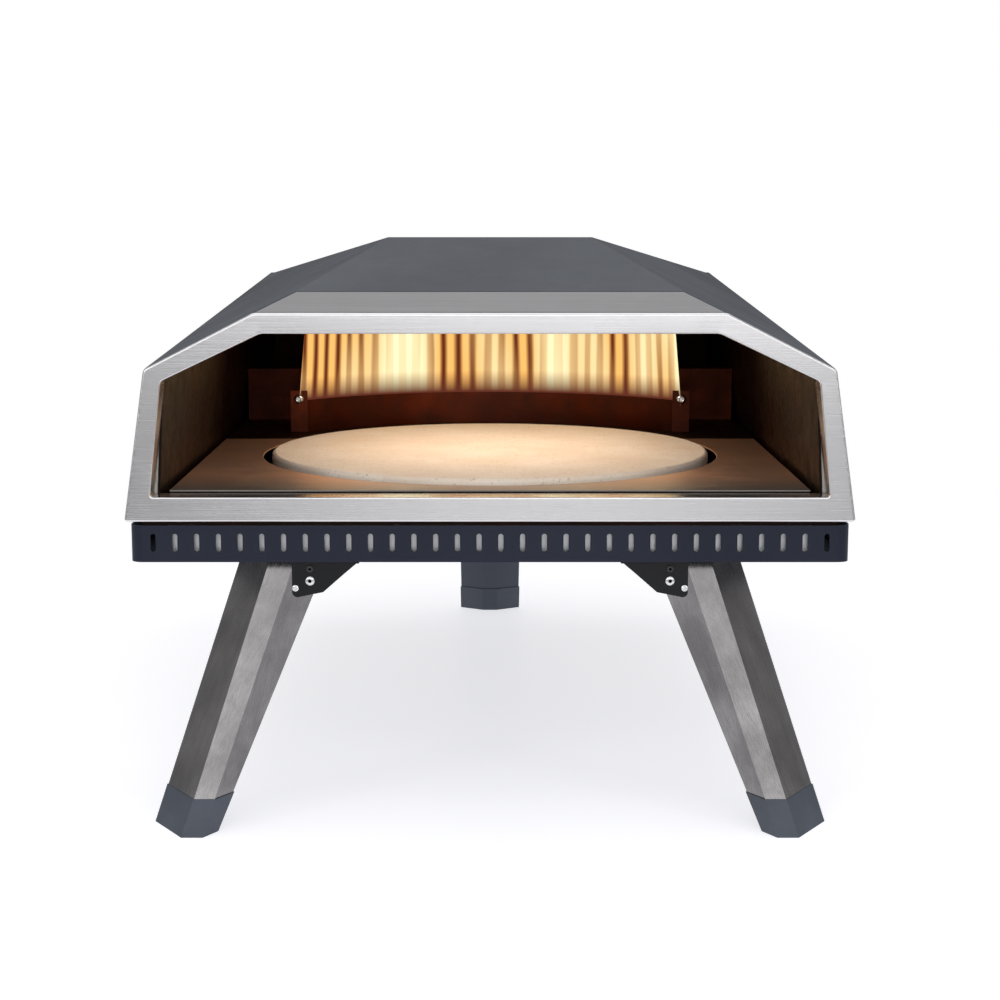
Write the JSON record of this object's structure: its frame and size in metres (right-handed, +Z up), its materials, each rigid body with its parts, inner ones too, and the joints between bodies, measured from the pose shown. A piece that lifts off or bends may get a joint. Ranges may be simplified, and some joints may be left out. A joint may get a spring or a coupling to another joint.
{
  "type": "portable wood fired pizza oven",
  "caption": "Low faceted steel pizza oven with a wide framed mouth, a round turning stone, a slotted base tray, a rear firebox with drawer and door, and folding splayed legs.",
  "frame": {"origin": "on the ground under the centre of the whole oven's box, legs unfolded", "axes": "+X to the right of someone facing the mouth, +Y from the mouth to the back, +Z up"},
  "size_m": [0.479, 0.7456, 0.3805],
  "materials": {
    "mouth_steel": "satin",
    "brow_steel": "satin",
    "hood_paint": "satin",
    "ceramic_fibre": "matte",
    "heated_steel": "satin",
    "black_paint": "satin",
    "tray_paint": "satin",
    "plate_steel": "satin",
    "bolt_steel": "polished",
    "leg_steel": "satin",
    "leg_insert": "satin",
    "foot_slate": "matte",
    "cordierite": "matte",
    "grip_plastic": "matte",
    "grate_iron": "matte"
  },
  "bodies": {
    "root": {"front_frame": "mouth_steel", "brow_band": "brow_steel", "hood_shell": "hood_paint", "insulation": "ceramic_fibre", "oven_liner": "heated_steel", "rear_panel": "hood_paint", "chassis_plate": "black_paint", "vent_skirt": "tray_paint", "slot_liner": "plate_steel", "floor_support": "heated_steel", "floor_plate": "plate_steel", "rear_floor": "heated_steel", "flame_guard": "heated_steel", "flame_comb": "heated_steel", "fire_baffles": "heated_steel", "guard_bolts": "bolt_steel", "firebox": "heated_steel", "bearing_housing": "plate_steel", "bearing": "bolt_steel", "hood_screws": "bolt_steel", "pan_screws": "bolt_steel", "panel_screws": "bolt_steel", "hinge_leaf": "plate_steel", "hinge_pin": "bolt_steel", "leg_bracket_left": "black_paint", "leg_bracket_right": "black_paint", "leg_bracket_rear": "black_paint", "pivot_bolts": "bolt_steel", "bracket_bolts": "bolt_steel", "bracket_rivets": "bolt_steel", "bracket_screws": "black_paint"},
    "left_leg": {"leg_shell_left": "leg_steel", "leg_core_left": "leg_insert", "foot_cap_left": "foot_slate"},
    "right_leg": {"leg_shell_right": "leg_steel", "leg_core_right": "leg_insert", "foot_cap_right": "foot_slate"},
    "rear_leg": {"leg_shell_rear": "leg_steel", "leg_core_rear": "leg_insert", "foot_cap_rear": "foot_slate"},
    "turning_stone": {"pizza_stone": "cordierite", "stone_carrier": "plate_steel", "spindle": "bolt_steel", "spindle_nut": "bolt_steel"},
    "fuel_drawer": {"drawer_tray": "heated_steel", "drawer_face": "leg_steel", "drawer_handle": "grip_plastic", "fuel_grate": "grate_iron"},
    "fuel_door_body": {"fuel_door": "leg_steel", "door_knob": "grip_plastic"}
  },
  "joints": [
    {"name": "left_leg_fold", "type": "hinge", "parent": "root", "child": "left_leg", "pos_m": [-0.14457, -0.28308, 0.15], "axis": [1, 0, 0], "range_deg": [0, 105]},
    {"name": "right_leg_fold", "type": "hinge", "parent": "root", "child": "right_leg", "pos_m": [0.14457, -0.28308, 0.15], "axis": [1, 0, 0], "range_deg": [0, 105]},
    {"name": "rear_leg_fold", "type": "hinge", "parent": "root", "child": "rear_leg", "pos_m": [0, 0.28308, 0.15], "axis": [-1, 0, 0], "range_deg": [0, 105]},
    {"name": "stone_spin", "type": "hinge", "parent": "root", "child": "turning_stone", "pos_m": [0, -0.111, 0.188], "axis": [0, 0, 1], "continuous": true},
    {"name": "drawer_slide", "type": "slide", "parent": "root", "child": "fuel_drawer", "axis": [0, 1, 0], "range_m": [0, 0.14]},
    {"name": "fuel_door_swing", "type": "hinge", "parent": "root", "child": "fuel_door_body", "pos_m": [0, 0.3315, 0.3155], "axis": [1, 0, 0], "range_deg": [0, 100]}
  ]
}
